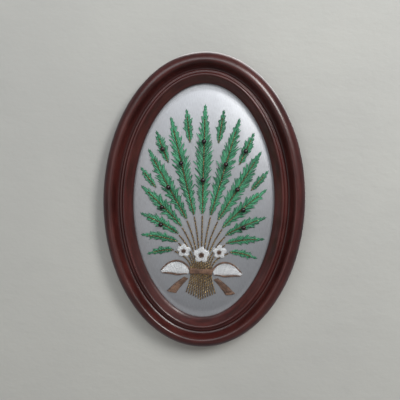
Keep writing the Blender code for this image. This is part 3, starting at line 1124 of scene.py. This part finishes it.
bow = {
    "loopWidth": 0.0134,
    "loopStart": 0.12,
    "loopEnd": 0.92,
    "loopRoute": ((0.0110, -0.0595), (0.0200, -0.0525), (0.0340, -0.0605)),
    "tailWidth": 0.0086,
    "tailStart": 0.50,
    "tailRoute": ((0.0128, -0.0650), (0.0190, -0.0700), (0.0255, -0.0785)),
    "knotHalfWidth": 0.0094,
    "knotHalfHeight": 0.0034,
    "knotWaist": 0.72,
    "lineSteps": 24,
    "rimHalfWidth": 0.0010,
    "rimInset": 0.0006,
    "loop": {
        "Pitch": 0.00062,
        "Stitch width": 0.00078,
        "Stitch height": 0.00055,
        "Slant": 0.35,
        "Pad height": 0.00100,
        "Shoulder": 4.0,
        "Dullest": 0.25,
        "Lift": 0.0,
        "Seed": 21,
    },
    "tail": {
        "Pitch": 0.00060,
        "Stitch width": 0.00076,
        "Stitch height": 0.00055,
        "Slant": 0.50,
        "Pad height": 0.00075,
        "Shoulder": 4.0,
        "Dullest": 0.0,
        "Lift": 0.0,
        "Seed": 22,
    },
    "knot": {
        "Pitch": 0.00062,
        "Stitch width": 0.00080,
        "Stitch height": 0.00055,
        "Slant": 0.0,
        "Pad height": 0.00165,
        "Shoulder": 7.0,
        "Dullest": 0.0,
        "Lift": 0.0,
        "Seed": 23,
    },
    "rim": {
        "Pitch": 0.00060,
        "Stitch width": 0.00074,
        "Stitch height": 0.00055,
        "Slant": 0.70,
        "Pad height": 0.00040,
        "Shoulder": 3.0,
        "Dullest": 0.0,
        "Lift": 0.00035,
        "Seed": 24,
    },
}


def satinRowTree():
    maker, given = newTree("satinStitchRow", bow["loop"])
    line = resample(maker, given["Geometry"], given["Pitch"])
    seed = given["Seed"]
    across = tangentAngle(maker) + math.pi / 2 - given["Slant"] * maker.field("side")
    length = 2.0 * maker.field("reach") * (1.0 + 0.05 * maker.chance(-1.0, 1.0, seed))
    back = maker.join(across.cosine() * length * -0.5, across.sine() * length * -0.5, given["Lift"])
    starts = maker.store(line, "heading", across)
    starts = maker.store(starts, "span", length)
    starts = maker.add("GeometryNodeSetPosition", {}, {"Geometry": starts, "Offset": back})
    stitch = unitStitch(maker, 6, 9, 0.3)
    size = (maker.field("span"), given["Stitch width"], given["Stitch height"])
    row = stitchRow(maker, starts, stitch, maker.field("heading"), size)
    row = maker.store(row, "tone", maker.chance(given["Dullest"], 1.0, seed + 1), "INSTANCE")
    whole = maker.add("GeometryNodeRealizeInstances", {}, {"Geometry": row})
    ends = abs(maker.field("along") * 2.0 - 1.0)
    pad = given["Pad height"] * (1.0 - ends ** given["Shoulder"])
    return closeStitches(maker, raiseWork(maker, whole, pad), given)


def ribbonLine(route, width, spread):
    steps = bow["lineSteps"]
    shares = [step / steps for step in range(steps + 1)]
    centre = [bezier(route, share) for share in shares]
    reach = [width / 2 * spread(share) for share in shares]
    edges = []
    for share, spot, half in zip(shares, centre, reach):
        along = bezierSlope(route, share)
        aside = Vector((along.y, -along.x)) * (half - bow["rimInset"])
        edges.append((spot - aside, spot + aside))
    rim = [left for left, right in edges] + [right for left, right in reversed(edges)]
    return centre, reach, rim


def loopSpread(share):
    return math.sin(math.pi * (bow["loopStart"] + (bow["loopEnd"] - bow["loopStart"]) * share))


def tailSpread(share):
    return bow["tailStart"] + (1.0 - bow["tailStart"]) * share


def buildRibbons(tree, part, spread, name, thread, slot):
    lines, rims = [], []
    traits = {"reach": [], "side": []}
    for sign in (1, -1):
        route = [(sign * across, up) for across, up in bow[part + "Route"]]
        centre, reach, rim = ribbonLine(route, bow[part + "Width"], spread)
        lines.append(centre)
        rims.append(rim)
        traits["reach"].append(reach)
        traits["side"].append([float(sign)] * len(centre))
    piece = growPiece(name, lineObject(part + "Lines", lines, traits), tree, bow[part], thread)
    place(piece, slot, *nodesNamed("bow_" + part))
    return rims


def buildBow():
    tree = satinRowTree()
    rims = buildRibbons(tree, "loop", loopSpread, "bowLoops", whiteThread, "white_thread")
    buildRibbons(tree, "tail", tailSpread, "bowTails", brownThread, "brown_thread")
    traits = {
        "reach": [[bow["rimHalfWidth"]] * len(rim) for rim in rims],
        "side": [[1.0] * len(rim) for rim in rims],
    }
    bands = growPiece("bowRims", lineObject("rimLines", rims, traits), tree, bow["rim"], brownThread)
    place(bands, "brown_thread")
    steps = bow["lineSteps"]
    sides = [2 * step / steps - 1 for step in range(steps + 1)]
    line = [(side * bow["knotHalfWidth"], stems["tieHeight"]) for side in sides]
    reach = [bow["knotHalfHeight"] * (bow["knotWaist"] + (1 - bow["knotWaist"]) * abs(side)) for side in sides]
    base = lineObject("knotLine", [line], {"reach": [reach], "side": [[1.0] * len(line)]})
    place(growPiece("bowKnot", base, tree, bow["knot"], brownThread), "brown_thread", "bow_knot")


buildBow()
print("bow made")


# Backing board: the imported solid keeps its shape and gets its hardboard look

board = {"dark": (0.130, 0.078, 0.042), "light": (0.235, 0.155, 0.090)}


def boardMaterial():
    material, maker, shader = newMaterial("brownHardboard")
    x, y, z = objectPlace(maker)
    fibres = maker.noise(maker.join(x, y, z * 0.35), 700.0, 5.0, 0.7)
    cloud = maker.noise(maker.join(x, y, z), 30.0, 4.0, 0.6)
    tone = maker.ease(0.6 * fibres + 0.4 * cloud, 0.35, 0.66)
    maker.feed(shader["Base Color"], maker.mix(tone, board["dark"], board["light"]))
    maker.feed(shader["Roughness"], 0.72 + 0.18 * cloud)
    maker.feed(shader["Normal"], bumped(maker, fibres, 0.00012))
    return material


hardboard = boardMaterial()
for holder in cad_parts["backing_board"].material_slots:
    holder.material = hardboard
print("board finished")


# Room: a near wall that shows from the front alone, a pale floor, soft lamps and even light around

room = {
    "wallGap": 0.0012,
    "wallSpan": 3.0,
    "wallColour": (0.470, 0.474, 0.448),
    "floorHeight": -0.75,
    "floorSpan": 4.0,
    "floorColour": (0.60, 0.55, 0.50),
    "worldColour": (0.92, 0.95, 1.0),
    "worldStrength": 0.19,
    "lamps": [  # name, place, width, height, watts, colour
        ("window", (0.62, -0.80, 0.62), 0.28, 0.50, 9.4, (1.0, 0.985, 0.96)),
        ("ceiling", (-0.10, -0.95, 0.75), 1.60, 0.50, 6.8, (0.94, 0.97, 1.0)),
        ("room", (-0.70, -1.30, 0.10), 1.0, 1.2, 2.3, (1.0, 0.97, 0.93)),
        ("behind", (0.20, 1.20, 0.80), 1.2, 1.2, 10.0, (1.0, 1.0, 1.0)),
    ],
}


def wallMaterial():
    material, maker, shader = newMaterial("paintedPlaster")
    x, y, z = objectPlace(maker)
    spot = maker.join(x, y, z)
    cloud = maker.noise(spot, 5.0, 4.0, 0.55)
    trowel = maker.noise(maker.join(x, y, z * 1.8), 26.0, 4.0, 0.6)
    grit = maker.noise(spot, 240.0, 3.0, 0.6)
    red, green, blue = room["wallColour"]
    dim = (red * 0.93, green * 0.93, blue * 0.94)
    maker.feed(shader["Base Color"], maker.mix(maker.ease(cloud, 0.35, 0.68), dim, room["wallColour"]))
    maker.feed(shader["Roughness"], 0.62 + 0.12 * grit)
    soft = bumped(maker, trowel, 0.0016, 0.45)
    maker.feed(shader["Normal"], bumped(maker, grit, 0.00025, 0.5, soft))
    behind = maker.add("ShaderNodeNewGeometry", {}, {}, "Backfacing")
    clear = maker.add("ShaderNodeBsdfTransparent")
    body = Wire(maker, material.node_tree.nodes["Principled BSDF"].outputs[0])
    shown = maker.add("ShaderNodeMixShader", {}, {0: behind, 1: body, 2: clear})
    maker.feed(material.node_tree.nodes["Material Output"].inputs["Surface"], shown)
    return material


def floorMaterial():
    material, maker, shader = newMaterial("paleFloor")
    x, y, z = objectPlace(maker)
    cloud = maker.noise(maker.join(x, y, z), 3.0, 3.0, 0.5)
    red, green, blue = room["floorColour"]
    dim = (red * 0.96, green * 0.96, blue * 0.96)
    maker.feed(shader["Base Color"], maker.mix(cloud, dim, room["floorColour"]))
    shader["Roughness"].default_value = 0.6
    return material


def stageSheet(name, corners, material):
    mesh = bpy.data.meshes.new(name)
    mesh.from_pydata(corners, [], [tuple(range(len(corners)))])
    mesh.materials.append(material)
    sheet = newObject(name, mesh)
    return sheet


def buildRoom():
    floor, gap, side = room["floorHeight"], room["wallGap"], room["wallSpan"]
    corners = [(-side, gap, floor), (side, gap, floor), (side, gap, side), (-side, gap, side)]
    wall = stageSheet("wall", corners, wallMaterial())
    wall.visible_diffuse = False
    wall.visible_glossy = False
    wall.visible_shadow = False
    side = room["floorSpan"]
    corners = [(-side, -side, floor), (side, -side, floor), (side, side, floor), (-side, side, floor)]
    ground = stageSheet("floor", corners, floorMaterial())
    ground.visible_glossy = False


def buildLights():
    world = bpy.data.worlds.new("room")
    bpy.context.scene.world = world
    world.use_nodes = True
    background = world.node_tree.nodes["Background"].inputs
    background["Color"].default_value = (*room["worldColour"], 1.0)
    background["Strength"].default_value = room["worldStrength"]
    for name, spot, width, height, watts, colour in room["lamps"]:
        light = bpy.data.lights.new(name, "AREA")
        light.shape = "RECTANGLE"
        light.size = width
        light.size_y = height
        light.energy = watts
        light.color = colour
        lamp = newObject(name, light)
        lamp.location = spot
        lamp.rotation_euler = (-Vector(spot)).to_track_quat("-Z", "Y").to_euler()


buildRoom()
buildLights()
print("room and lights placed")


# Camera: hand-held, a little above the middle and to its right

view = {
    "distance": 0.46,
    "above": 6.64,
    "right": 4.58,
    "roll": 1.41,
    "lens": 48.15,
    "sensor": 36.0,
    "aim": (-0.0031, 0.0019),
}


def placeCamera():
    camera = newObject("camera", bpy.data.cameras.new("camera"))
    above, right = math.radians(view["above"]), math.radians(view["right"])
    level = math.cos(above)
    backwards = Vector((math.sin(right) * level, -math.cos(right) * level, math.sin(above)))
    aim = Vector((view["aim"][0], 0.0, view["aim"][1]))
    turn = (-backwards).to_track_quat("-Z", "Y").to_matrix().to_4x4()
    roll = Matrix.Rotation(math.radians(view["roll"]), 4, "Z")
    camera.matrix_world = Matrix.Translation(aim + backwards * view["distance"]) @ turn @ roll
    camera.data.lens = view["lens"]
    camera.data.sensor_width = view["sensor"]
    camera.data.clip_start = 0.01
    camera.data.clip_end = 20.0
    bpy.context.scene.camera = camera


placeCamera()
bpy.context.scene.view_settings.view_transform = "Standard"
print("camera placed")
